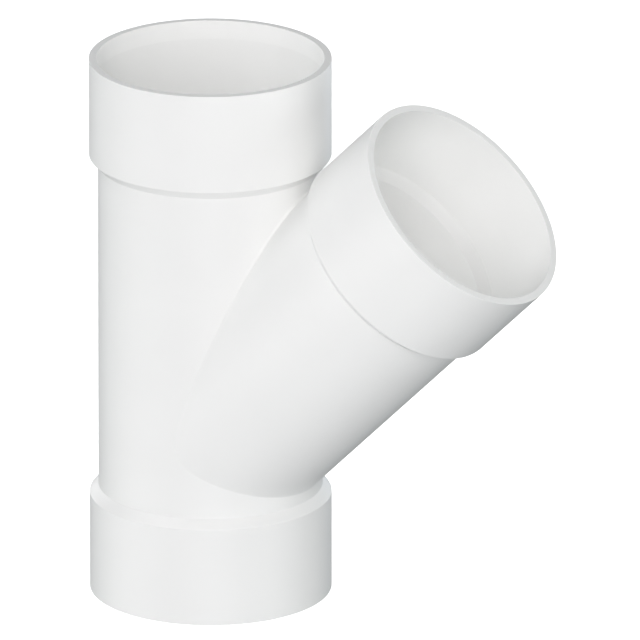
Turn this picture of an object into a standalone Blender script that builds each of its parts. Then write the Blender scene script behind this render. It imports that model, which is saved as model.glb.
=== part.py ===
"""Pipe wye with three socket hubs, moulded in one piece from rigid white PVC.

A straight run stands on one end along Z. A branch leaves it at 45 degrees towards +X. Each of the
three ends has a socket hub: a wider ring with a 45 degree shoulder outside, and inside it a socket
that a cone narrows to the bore, so that a pipe pushed in stops there. Metres, +Z up. The origin is
at the middle of the bottom of the part's box.
"""
import math

import bmesh
import bpy
import numpy as np
from mathutils import Matrix, Vector

MM = 0.001

# The run
RUN_LENGTH = 264.3 * MM
BODY_RADIUS = 53.2 * MM
BODY_WALL = 2.5 * MM

# The hubs: how far each stands out from its body, which is also the length of its 45 degree shoulder,
# and the rounding of the shoulder's top and foot
HUB_STEP = 4.2 * MM
HUB_WALL = 3.6 * MM
RUN_HUB_LENGTH = 47.8 * MM
BRANCH_HUB_LENGTH = 46.6 * MM
SHOULDER_ROUND = 0.5 * MM

# The sockets: depth, how much the radius narrows on the way in, and the cone that stops the pipe
SOCKET_DEPTH = 44.45 * MM
SOCKET_TAPER = 0.3 * MM
STOP_LENGTH = 5.7 * MM

# The branch: its angle from the run, where the two axes cross, its reach along its own axis from
# there to its face, and how much smaller each of its radii is than the run's
BRANCH_ANGLE = math.radians(45)
BRANCH_HEIGHT = 77.65 * MM
BRANCH_REACH = 193.9 * MM
BRANCH_INSET = 1.1 * MM

# The fillet in the crease between the run and the branch
CREASE_RADIUS = 1.0 * MM

# How finely round forms are cut into flats
SIDES = 128
ROUND_STEPS = 2
FILLET_STEPS = 6
SHARP_ANGLE = math.radians(30)

# How far a cutter runs past the face that it opens, how deep the fillet's back lies in the walls,
# and how far its edges dip under them, so that it crosses their flats cleanly
CUTTER_OVERRUN = 5.0 * MM
FILLET_DEPTH = 1.5 * MM
FILLET_DIP = 0.05 * MM

# Corners closer together than this become one
WELD = 0.01 * MM

# White rigid PVC, slightly warm, with a soft sheen
PVC_COLOUR = (0.86, 0.86, 0.855, 1.0)
PVC_ROUGHNESS = 0.42


def clear_scene():
    """Remove every object that the scene starts with."""
    for old in list(bpy.data.objects):
        bpy.data.objects.remove(old, do_unlink=True)


def pvc():
    """The one material of the moulding."""
    material = bpy.data.materials.new("white_pvc")
    material.use_nodes = True
    shader = material.node_tree.nodes["Principled BSDF"]
    shader.inputs["Base Color"].default_value = PVC_COLOUR
    shader.inputs["Roughness"].default_value = PVC_ROUGHNESS
    shader.inputs["Metallic"].default_value = 0.0
    return material


def new_object(name, bm):
    """Put a bmesh into the scene as a closed object with its faces pointing out."""
    bmesh.ops.recalc_face_normals(bm, faces=bm.faces)
    mesh = bpy.data.meshes.new(name)
    bm.to_mesh(mesh)
    bm.free()
    thing = bpy.data.objects.new(name, mesh)
    bpy.context.scene.collection.objects.link(thing)
    return thing


def turned(name, profile, place):
    """A solid turned about its own Z axis from (radius, height) points that start and end on the axis."""
    bm = bmesh.new()
    corners = [bm.verts.new((radius, 0.0, height)) for radius, height in profile]
    edges = [bm.edges.new(pair) for pair in zip(corners, corners[1:])]
    bmesh.ops.spin(
        bm,
        geom=corners + edges,
        cent=(0.0, 0.0, 0.0),
        axis=(0.0, 0.0, 1.0),
        angle=math.tau,
        steps=SIDES,
        use_merge=True,
    )
    bmesh.ops.remove_doubles(bm, verts=bm.verts, dist=WELD)
    bmesh.ops.triangulate(bm, faces=bm.faces)
    bmesh.ops.transform(bm, matrix=place, verts=bm.verts)
    return new_object(name, bm)


def rounded(before, corner, after):
    """Profile points of the arc that rounds a shoulder's corner and touches the lines on either side."""
    corner = Vector(corner)
    to_before = (Vector(before) - corner).normalized()
    to_after = (Vector(after) - corner).normalized()
    half_angle = to_before.angle(to_after) / 2
    centre = corner + (to_before + to_after).normalized() * SHOULDER_ROUND / math.sin(half_angle)
    start = corner + to_before * SHOULDER_ROUND / math.tan(half_angle) - centre
    end = corner + to_after * SHOULDER_ROUND / math.tan(half_angle) - centre
    bend = math.pi - 2 * half_angle
    points = []
    for k in range(ROUND_STEPS + 1):
        turned_by = bend * k / ROUND_STEPS
        points.append(centre + (math.sin(bend - turned_by) * start + math.sin(turned_by) * end) / math.sin(bend))
    return points


def shoulder(body_radius, face, outwards, hub_length):
    """Profile points of a hub's shoulder, from its foot on the body to its top on the hub.

    The face is the height of the hub's open end, and outwards is 1 or -1, the way that it faces.
    """
    hub_radius = body_radius + HUB_STEP
    top = (hub_radius, face - outwards * hub_length)
    foot = (body_radius, face - outwards * (hub_length + HUB_STEP))
    on_body = (body_radius, foot[1] - outwards * HUB_STEP)
    on_hub = (hub_radius, face)
    return rounded(on_body, foot, top) + rounded(foot, top, on_hub)


def run_outside():
    """Outer profile of the run, from its bottom face up, with a hub at each end."""
    hub_radius = BODY_RADIUS + HUB_STEP
    bottom = shoulder(BODY_RADIUS, 0.0, -1, RUN_HUB_LENGTH)
    top = shoulder(BODY_RADIUS, RUN_LENGTH, 1, RUN_HUB_LENGTH)
    start = [(0.0, 0.0), (hub_radius, 0.0)]
    return start + bottom[::-1] + top + [(hub_radius, RUN_LENGTH), (0.0, RUN_LENGTH)]


def branch_outside():
    """Outer profile of the branch along its own axis, from where the axes cross to its face."""
    body_radius = BODY_RADIUS - BRANCH_INSET
    top = shoulder(body_radius, BRANCH_REACH, 1, BRANCH_HUB_LENGTH)
    start = [(0.0, 0.0), (body_radius, 0.0)]
    return start + top + [(body_radius + HUB_STEP, BRANCH_REACH), (0.0, BRANCH_REACH)]


def socket(body_radius, face, inwards):
    """Socket points from just past the mouth to the bore; inwards is the direction of increasing depth."""
    mouth_radius = body_radius + HUB_STEP - HUB_WALL
    stop = face + inwards * SOCKET_DEPTH
    return [
        (mouth_radius, face - inwards * CUTTER_OVERRUN),
        (mouth_radius, face),
        (mouth_radius - SOCKET_TAPER, stop),
        (body_radius - BODY_WALL, stop + inwards * STOP_LENGTH),
    ]


def run_inside():
    """Everything that is open along the run: a socket at each end and the bore between them."""
    bottom = socket(BODY_RADIUS, 0.0, 1)
    top = socket(BODY_RADIUS, RUN_LENGTH, -1)
    return [(0.0, -CUTTER_OVERRUN)] + bottom + top[::-1] + [(0.0, RUN_LENGTH + CUTTER_OVERRUN)]


def branch_inside():
    """Everything that is open along the branch, starting inside the run's bore."""
    body_radius = BODY_RADIUS - BRANCH_INSET
    top = socket(body_radius, BRANCH_REACH, -1)
    start = [(0.0, 0.0), (body_radius - BODY_WALL, 0.0)]
    return start + top[::-1] + [(0.0, BRANCH_REACH + CUTTER_OVERRUN)]


def crease_fillet(name, run_place, branch_place):
    """A closed ring that rounds the crease between run and branch, as a rolling ball would.

    The ball's centre keeps its own radius away from both walls. For each turn t about the branch its
    distance from the branch's axis is known, and its distance along that axis follows from the run's
    radius. The ring's section is the ball's arc between the two walls, closed by points inside them.
    """
    run_reach = BODY_RADIUS - FILLET_DIP + CREASE_RADIUS
    branch_reach = run_reach - BRANCH_INSET
    turn = np.linspace(0.0, math.tau, SIDES, endpoint=False)
    across = branch_reach * np.cos(turn)
    sideways = branch_reach * np.sin(turn)
    outwards = np.sqrt(np.maximum(run_reach**2 - sideways**2, 0.0))
    along = (outwards - across * math.cos(BRANCH_ANGLE)) / math.sin(BRANCH_ANGLE)

    turn_branch = np.array(branch_place.to_3x3())
    centre = np.column_stack((across, sideways, along)) @ turn_branch.T + np.array(branch_place.translation)
    from_run = centre - np.array(run_place.translation)
    from_run[:, 2] = 0.0
    to_run = -from_run / np.linalg.norm(from_run, axis=1, keepdims=True)
    to_branch = -np.column_stack((across, sideways, 0.0 * turn)) @ turn_branch.T / branch_reach

    middle = to_run + to_branch
    half_cosine = np.linalg.norm(middle, axis=1, keepdims=True) / 2
    middle /= 2 * half_cosine
    section = [centre + (CREASE_RADIUS + FILLET_DEPTH) * to_run]
    for share in np.linspace(0.0, 1.0, FILLET_STEPS + 1):
        towards = (1 - share) * to_run + share * to_branch
        towards /= np.linalg.norm(towards, axis=1, keepdims=True)
        section.append(centre + CREASE_RADIUS * towards)
    section.append(centre + (CREASE_RADIUS + FILLET_DEPTH) * to_branch)
    section.append(centre + (CREASE_RADIUS / half_cosine + FILLET_DEPTH) * middle)

    bm = bmesh.new()
    rings = [[bm.verts.new(point) for point in ring] for ring in np.stack(section, axis=1)]
    for ring, following in zip(rings, rings[1:] + rings[:1]):
        corners = len(ring)
        for k in range(corners):
            after = (k + 1) % corners
            bm.faces.new((ring[k], ring[after], following[after], following[k]))
    bmesh.ops.triangulate(bm, faces=bm.faces)
    return new_object(name, bm)


def combine(body, steps):
    """Apply Boolean steps to the body in order and remove the shapes that they used.

    All the shapes are closed, and the exact solver leaves open edges where the fillet's thin ends
    cross the flats, so the manifold solver joins and cuts them.
    """
    for operation, tool in steps:
        cut = body.modifiers.new(tool.name, "BOOLEAN")
        cut.operation = operation
        cut.solver = "MANIFOLD"
        cut.object = tool
    graph = bpy.context.evaluated_depsgraph_get()
    finished = bpy.data.meshes.new_from_object(body.evaluated_get(graph))
    body.modifiers.clear()
    body.data = finished
    for operation, tool in steps:
        bpy.data.objects.remove(tool, do_unlink=True)


def main():
    clear_scene()
    branch_end = BRANCH_REACH * math.sin(BRANCH_ANGLE)
    branch_lip = (BODY_RADIUS - BRANCH_INSET + HUB_STEP) * math.cos(BRANCH_ANGLE)
    run_edge = BODY_RADIUS + HUB_STEP
    run_axis_x = (run_edge - branch_end - branch_lip) / 2
    run_place = Matrix.Translation((run_axis_x, 0.0, 0.0))
    branch_place = Matrix.Translation((run_axis_x, 0.0, BRANCH_HEIGHT)) @ Matrix.Rotation(BRANCH_ANGLE, 4, "Y")

    body = turned("wye_body", run_outside(), run_place)
    steps = [
        ("UNION", turned("branch_outside", branch_outside(), branch_place)),
        ("UNION", crease_fillet("crease_fillet", run_place, branch_place)),
        ("DIFFERENCE", turned("run_inside", run_inside(), run_place)),
        ("DIFFERENCE", turned("branch_inside", branch_inside(), branch_place)),
    ]
    combine(body, steps)
    body.data.materials.clear()
    body.data.materials.append(pvc())
    body.data.shade_smooth()
    body.data.set_sharp_from_angle(angle=SHARP_ANGLE)


main()
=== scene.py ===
"""Looks of the pipe wye: one moulding of white rigid PVC on a white sweep, in soft studio light.

The moulding stands for the CAD solid and has its sizes. Each wall is a grid of points on a cylinder
or cone, worked out from two parameters. The grids share the points along their edges, so they close
into one skin, with its true rounding in the crease between run and branch.
"""

import bmesh
import bpy
import numpy as np
from mathutils import Matrix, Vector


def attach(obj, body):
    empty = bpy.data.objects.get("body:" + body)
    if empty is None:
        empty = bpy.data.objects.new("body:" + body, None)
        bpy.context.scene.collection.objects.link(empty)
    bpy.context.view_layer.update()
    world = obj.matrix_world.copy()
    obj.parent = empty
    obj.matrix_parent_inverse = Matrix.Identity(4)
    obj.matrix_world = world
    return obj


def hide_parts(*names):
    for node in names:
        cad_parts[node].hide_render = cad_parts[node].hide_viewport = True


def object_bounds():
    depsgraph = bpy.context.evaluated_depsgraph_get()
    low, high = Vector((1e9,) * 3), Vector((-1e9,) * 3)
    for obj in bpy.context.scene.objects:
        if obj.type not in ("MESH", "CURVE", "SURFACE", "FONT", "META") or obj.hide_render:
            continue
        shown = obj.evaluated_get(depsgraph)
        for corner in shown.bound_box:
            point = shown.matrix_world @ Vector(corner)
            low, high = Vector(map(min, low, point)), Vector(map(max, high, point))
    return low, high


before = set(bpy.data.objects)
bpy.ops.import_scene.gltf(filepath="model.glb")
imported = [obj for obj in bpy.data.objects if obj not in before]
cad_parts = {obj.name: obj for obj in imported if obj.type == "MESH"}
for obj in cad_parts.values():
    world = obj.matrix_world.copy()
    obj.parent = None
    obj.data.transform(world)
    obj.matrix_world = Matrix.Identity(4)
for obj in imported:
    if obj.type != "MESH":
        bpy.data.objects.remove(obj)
cad_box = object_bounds()

MM = 0.001

# The run and its branch, as in the CAD solid
RUN_LENGTH = 264.3 * MM
RUN_RADIUS = 53.2 * MM
BRANCH_RADIUS = 52.1 * MM
BODY_WALL = 2.5 * MM
BRANCH_ANGLE = np.radians(45)
BRANCH_HEIGHT = 77.65 * MM
BRANCH_REACH = 193.9 * MM
CREASE_RADIUS = 1.0 * MM

# The hubs and the sockets in them
HUB_STEP = 4.2 * MM
HUB_WALL = 3.6 * MM
RUN_HUB_LENGTH = 47.8 * MM
BRANCH_HUB_LENGTH = 46.6 * MM
SOCKET_DEPTH = 44.45 * MM
SOCKET_TAPER = 0.3 * MM
STOP_LENGTH = 5.7 * MM

# The run's sockets narrow only as far as this, where the photograph shows a lighter band
# The band from the run's faces down to this depth is painted lighter: painted light
LEAD_IN = 9.0 * MM

# Rounding of the lead-in's corner, and of a hub's others from the bore round the mouth to the body
LEAD_IN_ROUND = 5.0 * MM
HUB_ROUNDS = np.array((0.5, 0.5, 0.15, 0.15, 0.5, 0.5)) * MM

# Width of the flow marks and of the grain, and the grain's height. A real mould's grain is finer than
# a pixel, so it is drawn coarse enough to show.
FLOW_MARK = 40.0 * MM
GRAIN = 1.6 * MM
GRAIN_HEIGHT = 0.05 * MM

# Painted light and shade inside the hubs: the run's lead-ins are painted lighter and the pipe stops
# darker than the rest of the wall
SOCKET_PAINTED_LIGHT_AND_SHADE = {"lead_in_painted_light": "#f4f4f3", "pipe_stop_painted_shade": "#ebebea"}

# How far past its last corner a hub's profile runs on along the bore and along the body
BORE_JOIN = 2.0 * MM
BODY_JOIN = 0.4 * MM

# How finely the grids are cut. A wall's outer rows of faces are EDGE_ROW wide, or on a short wall
# EDGE_SHARE of its length.
TURN_STEPS = 96
BACK_STEPS = 104
WALL_ROWS = 8
ARC_STEPS = 6
FILLET_STEPS = 12
EDGE_ROW = 0.1 * MM
EDGE_SHARE = 0.25
SHARP_ANGLE = np.radians(30)
WELD = 0.001 * MM

# The photograph's camera: its direction, how far to the right of and above the foot of the run's
# axis it looks, the width that it frames, lens and sensor in millimetres, and clipping in metres
CAMERA_AZIMUTH = np.radians(30.0)
CAMERA_ELEVATION = np.arcsin(1 / 3)
VIEW_RIGHT = 51.79 * MM
VIEW_UP = 125.37 * MM
VIEW_WIDTH = 303.7 * MM
LENS = 1700.0
SENSOR = 36.0
NEAREST = 0.1
FARTHEST = 100.0

# Round softboxes about the part, with the azimuth and elevation of each in degrees, its power in
# watts, whether it casts shadows, and its colour. Those without shadow stand for the bounce of a
# white room. Size, distance and the height of the point that they face are in metres.
SOFTBOX_SIZE = 1.5
SOFTBOX_DISTANCE = 2.0
SOFTBOX_HEIGHT = 0.16
SOFTBOXES = (
    ("key", 30.0, 20.0, 21.2, True, "#fffdfd"),
    ("right", 90.0, -5.0, 9.4, True, "#fbfffd"),
    ("right_high", 120.0, 50.0, 8.4, True, "#fefffc"),
    ("left_high", 300.0, 50.0, 11.3, True, "#ffffff"),
    ("left_low", 300.0, -40.0, 11.8, True, "#fefffd"),
    ("front_low", 30.0, -40.0, 7.1, True, "#feffff"),
    ("back_right", 180.0, 0.0, 9.2, True, "#f3f9ff"),
    ("back_left", 240.0, 10.0, 10.4, True, "#ffffff"),
    ("key_bounce", 30.0, 20.0, 5.9, False, "#fffdfe"),
    ("front_bounce", 330.0, -5.0, 3.9, False, "#ffffff"),
    ("left_bounce", 270.0, -5.0, 3.5, False, "#f9fffc"),
)
FILL_STRENGTH = 0.134
FILL_COLOUR = "#f0f8ff"
BACKGROUND_STRENGTH = 1.05
FLOOR_SIZE = 8.0

AXIS_X = cad_box[0][0] + RUN_RADIUS + HUB_STEP


def linear(hex_colour):
    """An sRGB hex colour as linear red, green, blue and alpha."""
    shares = np.array([int(hex_colour[k : k + 2], 16) for k in (1, 3, 5)]) / 255
    values = np.where(shares <= 0.04045, shares / 12.92, ((shares + 0.055) / 1.055) ** 2.4)
    return (*values.tolist(), 1.0)


def on_run(radius, angle, height):
    """Points at a radius and angle about the run's axis, at a height."""
    radius, angle, height = np.broadcast_arrays(radius, angle, height)
    return np.stack((AXIS_X + radius * np.cos(angle), radius * np.sin(angle), height), axis=-1)


def on_branch(radius, turn, along):
    """Points at a radius and turn about the branch's axis, at a distance along it."""
    radius, turn, along = np.broadcast_arrays(radius, turn, along)
    across = radius * np.cos(turn)
    outwards = across * np.cos(BRANCH_ANGLE) + along * np.sin(BRANCH_ANGLE)
    height = BRANCH_HEIGHT - across * np.sin(BRANCH_ANGLE) + along * np.cos(BRANCH_ANGLE)
    return np.stack((AXIS_X + outwards, radius * np.sin(turn), height), axis=-1)


def crossing(run_radius, branch_radius, turn):
    """Where a cylinder about the run meets one about the branch, at each turn about the branch.

    The turn fixes how far the point lies across and to the side of the branch's axis. Its distance
    from the run's axis then fixes how far it lies along the branch. Returns that distance, the angle
    about the run, and the height.
    """
    across = branch_radius * np.cos(turn)
    sideways = branch_radius * np.sin(turn)
    outwards = np.sqrt(run_radius**2 - sideways**2)
    along = (outwards - across * np.cos(BRANCH_ANGLE)) / np.sin(BRANCH_ANGLE)
    height = BRANCH_HEIGHT - across * np.sin(BRANCH_ANGLE) + along * np.cos(BRANCH_ANGLE)
    return along, np.arctan2(sideways, outwards), height


def row_shares(length):
    """Shares of the way along a wall of each column's length, with a row close to either edge.

    The close rows keep the rounding beside the wall from shading the flat between them.
    """
    edge = np.minimum(EDGE_ROW / np.abs(length), EDGE_SHARE)
    inner = edge + (1 - 2 * edge) * np.linspace(0.0, 1.0, WALL_ROWS)[:, None]
    return np.concatenate((0 * edge[None], inner, 1 + 0 * edge[None]))


def run_wall(radius, low_angle, low, high_angle, high):
    """A wall of the run: each column goes straight from its low angle and height to its high ones."""
    low_angle, low, high_angle, high = np.broadcast_arrays(low_angle, low, high_angle, high)
    share = row_shares(high - low)
    return on_run(radius, low_angle + share * (high_angle - low_angle), low + share * (high - low))


def run_walls(radius, ends, end_angle, seam_turn, seam_radii):
    """The run between its hubs, in four grids round the opening to the branch.

    The seam is the crossing of the two seam_radii. Below it and above it the grids' columns end on
    the seam. Round the back they pass it at the height of its two sides.
    """
    bottom, top = ends
    front_angle, back_angle = end_angle
    seam_angle, seam_height = crossing(*seam_radii, seam_turn)[1:]
    upper = crossing(*seam_radii, np.pi - seam_turn)[2]
    side_height = seam_height[-1]
    back_seam = np.linspace(seam_angle[-1], 2 * np.pi - seam_angle[-1], BACK_STEPS + 1)
    return [
        run_wall(radius, front_angle, bottom, seam_angle, seam_height),
        run_wall(radius, seam_angle, upper, front_angle, top),
        run_wall(radius, back_angle, bottom, back_seam, side_height),
        run_wall(radius, back_seam, side_height, back_angle, top),
    ]


def branch_wall(radius, turn, start, end):
    """A wall of the branch: each column goes straight from its start to the end along the axis."""
    start, end = np.broadcast_arrays(start, end)
    return on_branch(radius, turn, start + row_shares(end - start) * (end - start))


def arc(start, end):
    """Directions that turn evenly from each start vector to its end vector of the same length."""
    square = np.sum(start * start, axis=-1, keepdims=True)
    bend = np.arccos(np.sum(start * end, axis=-1, keepdims=True) / square)
    steps = FILLET_STEPS if start.shape[-1] == 3 else ARC_STEPS
    share = np.linspace(0.0, 1.0, steps + 1)[:, None, None]
    return (np.sin((1 - share) * bend) * start + np.sin(share * bend) * end) / np.sin(bend)


def crease(turn):
    """The fillet between run and branch, as a ball leaves it that rolls along the crease.

    The ball's centre is on the crossing of the two cylinders that lie its radius outside the walls.
    Each column is the arc about the centre from where the ball touches the run to where it touches
    the branch.
    """
    centre_radius = RUN_RADIUS + CREASE_RADIUS
    along, angle, height = crossing(centre_radius, BRANCH_RADIUS + CREASE_RADIUS, turn)
    centre = on_run(centre_radius, angle, height)
    to_run = on_run(RUN_RADIUS, angle, height) - centre
    to_branch = on_branch(BRANCH_RADIUS, turn, along) - centre
    return centre + arc(to_run, to_branch)


def rounded(corners, radii):
    """A profile with each corner but its two ends rounded to its radius.

    An arc's ends lie its radius times the tangent of half the bend from the corner, and its centre
    lies on the corner's bisector. A point just past either end keeps the straight shading flat.
    """
    steps = np.diff(corners, axis=0)
    steps /= np.linalg.norm(steps, axis=1, keepdims=True)
    before, after = steps[:-1], steps[1:]
    radii = radii[:, None]
    half_bend = np.arccos(np.sum(before * after, axis=1, keepdims=True)) / 2
    reach = radii * np.tan(half_bend)
    bisector = after - before
    bisector /= np.linalg.norm(bisector, axis=1, keepdims=True)
    centre = corners[1:-1] + bisector * radii / np.cos(half_bend)
    start = corners[1:-1] - before * reach
    end = corners[1:-1] + after * reach
    rows = np.concatenate((
        (start - before * EDGE_ROW)[None],
        centre + arc(start - centre, end - centre),
        (end + after * EDGE_ROW)[None],
    ))
    inner = rows.transpose(1, 0, 2).reshape(-1, 2)
    return np.concatenate((corners[:1], inner, corners[-1:]))


def mouth_of(body_radius):
    """Radius of a hub's mouth, on a body of this radius."""
    return body_radius + HUB_STEP - HUB_WALL


def hub_profile(body_radius, hub_length):
    """Section of one end from the bore round its mouth to the body: radius, and depth from the face."""
    hub_radius = body_radius + HUB_STEP
    mouth_radius = mouth_of(body_radius)
    bore_radius = body_radius - BODY_WALL
    stop_end = SOCKET_DEPTH + STOP_LENGTH
    shoulder_end = hub_length + HUB_STEP
    corners = np.array((
        (bore_radius, stop_end + BORE_JOIN),
        (bore_radius, stop_end),
        (mouth_radius - SOCKET_TAPER, SOCKET_DEPTH),
        (mouth_radius, 0.0),
        (hub_radius, 0.0),
        (hub_radius, hub_length),
        (body_radius, shoulder_end),
        (body_radius, shoulder_end + BODY_JOIN),
    ))
    rounds = HUB_ROUNDS
    if body_radius == RUN_RADIUS:
        corners = np.insert(corners, 3, (mouth_radius - SOCKET_TAPER, LEAD_IN), axis=0)
        rounds = np.insert(rounds, 2, LEAD_IN_ROUND)
    return rounded(corners, rounds)


def moulding_grids():
    """Every wall of the moulding as a grid of points, rows by columns by three."""
    half_turn = np.linspace(-np.pi / 2, np.pi / 2, TURN_STEPS + 1)
    full_turn = np.concatenate((half_turn, half_turn[1:] + np.pi))
    outer_radii = (RUN_RADIUS + CREASE_RADIUS, BRANCH_RADIUS + CREASE_RADIUS)
    bore_radii = (RUN_RADIUS - BODY_WALL, BRANCH_RADIUS - BODY_WALL)
    front = crossing(*outer_radii, half_turn)[1]
    back = np.linspace(front[-1], 2 * np.pi - front[-1], BACK_STEPS + 1)
    around = np.concatenate((front, back[1:]))

    run_hub = hub_profile(RUN_RADIUS, RUN_HUB_LENGTH)
    radius, depth = run_hub.T[:, :, None]
    branch_hub = hub_profile(BRANCH_RADIUS, BRANCH_HUB_LENGTH)
    branch_hub_radius, branch_depth = branch_hub.T[:, :, None]
    bore_ends = (run_hub[0, 1], RUN_LENGTH - run_hub[0, 1])
    body_ends = (run_hub[-1, 1], RUN_LENGTH - run_hub[-1, 1])

    body_seam = crossing(*outer_radii, full_turn)[0]
    bore_seam = crossing(*bore_radii, full_turn)[0]
    return [
        on_run(radius, around, depth),
        on_run(radius, around, RUN_LENGTH - depth),
        on_branch(branch_hub_radius, full_turn, BRANCH_REACH - branch_depth),
        *run_walls(RUN_RADIUS, body_ends, (front, back), half_turn, outer_radii),
        *run_walls(bore_radii[0], bore_ends, (front, back), half_turn, bore_radii),
        branch_wall(BRANCH_RADIUS, full_turn, body_seam, BRANCH_REACH - branch_hub[-1, 1]),
        branch_wall(bore_radii[1], full_turn, bore_seam, BRANCH_REACH - branch_hub[0, 1]),
        crease(full_turn),
    ]


def skin(name, grids):
    """One closed mesh from grids that share their edges, with its faces pointing out.

    Face k of a grid joins point k to the next column's and both to the next row's.
    """
    points = []
    faces = []
    count = 0
    for grid in grids:
        rows, columns = grid.shape[:2]
        corner = count + np.arange(rows * columns).reshape(rows, columns)
        ring = (corner[:-1, :-1], corner[:-1, 1:], corner[1:, 1:], corner[1:, :-1])
        faces.append(np.stack(ring, axis=-1).reshape(-1, 4))
        points.append(grid.reshape(-1, 3))
        count += rows * columns
    mesh = bpy.data.meshes.new(name)
    mesh.from_pydata(np.concatenate(points).tolist(), [], np.concatenate(faces).tolist())
    bm = bmesh.new()
    bm.from_mesh(mesh)
    bmesh.ops.remove_doubles(bm, verts=bm.verts, dist=WELD)
    bmesh.ops.recalc_face_normals(bm, faces=bm.faces)
    bm.to_mesh(mesh)
    bm.free()
    mesh.shade_smooth()
    mesh.set_sharp_from_angle(angle=SHARP_ANGLE)
    piece = bpy.data.objects.new(name, mesh)
    bpy.context.scene.collection.objects.link(piece)
    return piece


def on_stop(depth):
    """Whether a depth from a hub's face lies on its pipe stop."""
    return (depth > SOCKET_DEPTH) & (depth < SOCKET_DEPTH + STOP_LENGTH)


def mark_socket_painted_shading(mesh):
    """Mark where the material paints light and shade: the run's lead-ins (painted light) and all pipe
    stops (painted shade), by an attribute each, 1 there and 0 elsewhere.
    """
    points = np.empty(3 * len(mesh.vertices))
    mesh.vertices.foreach_get("co", points)
    x, y, z = points.reshape(-1, 3).T
    outwards = x - AXIS_X
    upwards = z - BRANCH_HEIGHT
    along = outwards * np.sin(BRANCH_ANGLE) + upwards * np.cos(BRANCH_ANGLE)
    across = outwards * np.cos(BRANCH_ANGLE) - upwards * np.sin(BRANCH_ANGLE)
    run_depth = np.minimum(z, RUN_LENGTH - z)
    in_run = np.hypot(outwards, y) < mouth_of(RUN_RADIUS) + WELD
    in_branch = np.hypot(across, y) < mouth_of(BRANCH_RADIUS) + WELD
    marks = {
        "lead_in_painted_light": in_run & (run_depth < LEAD_IN),
        "pipe_stop_painted_shade": (in_run & on_stop(run_depth)) | (in_branch & on_stop(BRANCH_REACH - along)),
    }
    for name, marked in marks.items():
        attribute = mesh.attributes.new(name, "FLOAT", "POINT")
        attribute.data.foreach_set("value", marked.astype(float))


def add_node(tree, kind, settings=(), links=()):
    """Add a node, set its properties and unlinked sockets, and link others' outputs to its sockets."""
    node = tree.nodes.new(kind)
    for key, value in dict(settings).items():
        if hasattr(node, str(key)):
            setattr(node, key, value)
        else:
            node.inputs[key].default_value = value
    for key, output in dict(links).items():
        tree.links.new(output, node.inputs[key])
    return node


def new_material(name):
    """A material with only an output, and its node tree."""
    material = bpy.data.materials.new(name)
    material.use_nodes = True
    material.node_tree.nodes.clear()
    return material, material.node_tree


def white_moulded_pvc():
    """Injection-moulded rigid PVC: milky white, a soft even sheen, and barely seen flow marks.

    The lead-ins of the run's sockets are painted a little lighter, as painted light, and the pipe stops
    a little darker, as painted shade.
    """
    material, tree = new_material("white_moulded_pvc")
    place = add_node(tree, "ShaderNodeTexCoord").outputs["Object"]
    flow = add_node(
        tree, "ShaderNodeTexNoise",
        {"Scale": 1 / FLOW_MARK, "Detail": 3.0, "Roughness": 0.5, "Distortion": 0.6},
        {"Vector": place},
    )
    grain = add_node(
        tree, "ShaderNodeTexNoise",
        {"Scale": 1 / GRAIN, "Detail": 4.0, "Roughness": 0.6},
        {"Vector": place},
    )
    tint = add_node(
        tree, "ShaderNodeMix",
        {"data_type": "RGBA", "A": linear("#efefee"), "B": linear("#f3f3f2")},
        {"Factor": flow.outputs["Fac"]},
    )
    colour = tint.outputs[2]
    # Painted light on the run's lead-ins and painted shade on the pipe stops
    for mark, hex_colour in SOCKET_PAINTED_LIGHT_AND_SHADE.items():
        share = add_node(tree, "ShaderNodeAttribute", {"attribute_name": mark})
        marked = add_node(
            tree, "ShaderNodeMix",
            {"data_type": "RGBA", "B": linear(hex_colour)},
            {"Factor": share.outputs["Fac"], "A": colour},
        )
        colour = marked.outputs[2]
    sheen = add_node(
        tree, "ShaderNodeMapRange",
        {"To Min": 0.36, "To Max": 0.46},
        {"Value": grain.outputs["Fac"]},
    )
    relief = add_node(
        tree, "ShaderNodeBump",
        {"Strength": 0.12, "Distance": GRAIN_HEIGHT},
        {"Height": grain.outputs["Fac"]},
    )
    shader = add_node(
        tree, "ShaderNodeBsdfPrincipled",
        {"IOR": 1.53},
        {
            "Base Color": colour,
            "Roughness": sheen.outputs["Result"],
            "Normal": relief.outputs["Normal"],
        },
    )
    add_node(tree, "ShaderNodeOutputMaterial", {}, {"Surface": shader.outputs["BSDF"]})
    return material


def white_paper_sweep():
    """A white paper sweep that glows evenly white on top of the light it takes, so that it shows as
    pure white.
    """
    material, tree = new_material("white_paper_sweep")
    paper = add_node(tree, "ShaderNodeBsdfDiffuse", {"Color": linear("#f4f4f4")})
    glow = add_node(tree, "ShaderNodeEmission", {"Color": linear("#ffffff"), "Strength": 1.0})
    both = add_node(tree, "ShaderNodeAddShader")
    tree.links.new(paper.outputs["BSDF"], both.inputs[0])
    tree.links.new(glow.outputs["Emission"], both.inputs[1])
    add_node(tree, "ShaderNodeOutputMaterial", {}, {"Surface": both.outputs["Shader"]})
    return material


def sweep_floor():
    """A flat square floor under the part. The camera sees it, but it casts no light on the part."""
    half = FLOOR_SIZE / 2
    corners = np.array(((-half, -half, 0.0), (half, -half, 0.0), (half, half, 0.0), (-half, half, 0.0)))
    mesh = bpy.data.meshes.new("floor")
    mesh.from_pydata(corners.tolist(), [], [(0, 1, 2, 3)])
    mesh.materials.append(white_paper_sweep())
    floor = bpy.data.objects.new("floor", mesh)
    bpy.context.scene.collection.objects.link(floor)
    floor.visible_diffuse = False
    floor.visible_glossy = False
    floor.visible_shadow = False
    return floor


def towards(azimuth, elevation):
    """Unit vector to where a camera or light stands; azimuth 0 is -Y and 90 degrees is +X."""
    level = np.cos(elevation)
    return np.array((np.sin(azimuth) * level, -np.cos(azimuth) * level, np.sin(elevation)))


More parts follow.
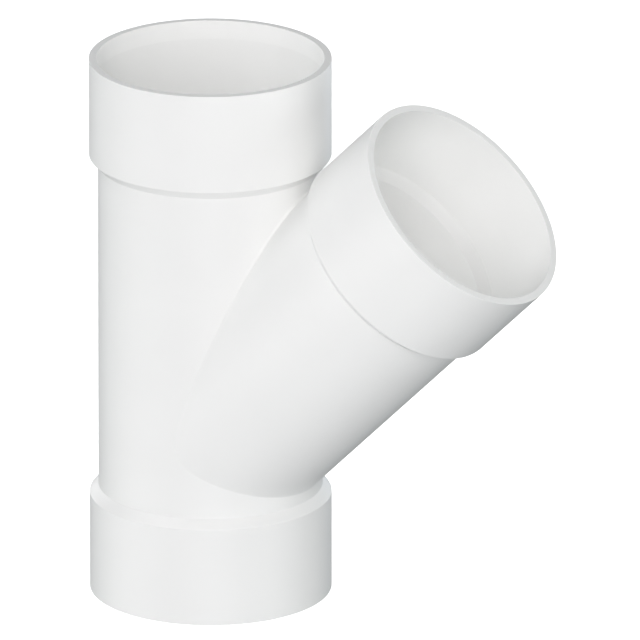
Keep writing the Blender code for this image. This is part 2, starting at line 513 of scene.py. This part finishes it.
def facing(back):
    """Rotation that turns an object's -Z away from a direction, with its X level."""
    right = np.cross((0.0, 0.0, 1.0), back)
    right /= np.linalg.norm(right)
    return Matrix(np.column_stack((right, np.cross(back, right), back)).tolist())


def add_lights():
    """Softboxes, and a world that is white to the eye but only a gentle fill on the part."""
    middle = np.array((0.0, 0.0, SOFTBOX_HEIGHT))
    for name, azimuth, elevation, power, shadow, colour in SOFTBOXES:
        light = bpy.data.lights.new(name, "AREA")
        light.shape = "DISK"
        light.size = SOFTBOX_SIZE
        light.energy = power
        light.use_shadow = shadow
        light.cycles.use_multiple_importance_sampling = shadow
        light.color = linear(colour)[:3]
        lamp = bpy.data.objects.new(name, light)
        back = towards(np.radians(azimuth), np.radians(elevation))
        lamp.location = middle + SOFTBOX_DISTANCE * back
        lamp.rotation_euler = facing(back).to_euler()
        lamp.visible_camera = False
        bpy.context.scene.collection.objects.link(lamp)

    world = bpy.data.worlds.new("white_studio")
    world.use_nodes = True
    tree = world.node_tree
    tree.nodes.clear()
    eye = add_node(tree, "ShaderNodeLightPath").outputs["Is Camera Ray"]
    fill = add_node(
        tree, "ShaderNodeBackground",
        {"Color": linear(FILL_COLOUR), "Strength": FILL_STRENGTH},
    )
    paper = add_node(
        tree, "ShaderNodeBackground",
        {"Color": linear("#ffffff"), "Strength": BACKGROUND_STRENGTH},
    )
    seen = add_node(tree, "ShaderNodeMixShader", {}, {"Fac": eye})
    tree.links.new(fill.outputs["Background"], seen.inputs[1])
    tree.links.new(paper.outputs["Background"], seen.inputs[2])
    add_node(tree, "ShaderNodeOutputWorld", {}, {"Surface": seen.outputs["Shader"]})
    bpy.context.scene.world = world


def add_camera():
    """The photograph's camera: so long a lens, from so far, that parallel edges stay parallel."""
    back = towards(CAMERA_AZIMUTH, CAMERA_ELEVATION)
    turn = facing(back)
    target = np.array((AXIS_X, 0.0, 0.0)) + np.array(turn) @ np.array((VIEW_RIGHT, VIEW_UP, 0.0))
    data = bpy.data.cameras.new("photo_camera")
    data.lens = LENS
    data.sensor_width = SENSOR
    data.clip_start = NEAREST
    data.clip_end = FARTHEST
    camera = bpy.data.objects.new("photo_camera", data)
    camera.location = target + back * VIEW_WIDTH * LENS / SENSOR
    camera.rotation_euler = turn.to_euler()
    bpy.context.scene.collection.objects.link(camera)
    bpy.context.scene.camera = camera


def main():
    moulding = skin("wye_moulding", moulding_grids())
    mark_socket_painted_shading(moulding.data)
    moulding.data.materials.append(white_moulded_pvc())
    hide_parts("wye_body")
    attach(moulding, "root")

    sweep_floor()
    add_lights()
    add_camera()
    bpy.context.scene.view_settings.view_transform = "Standard"


main()
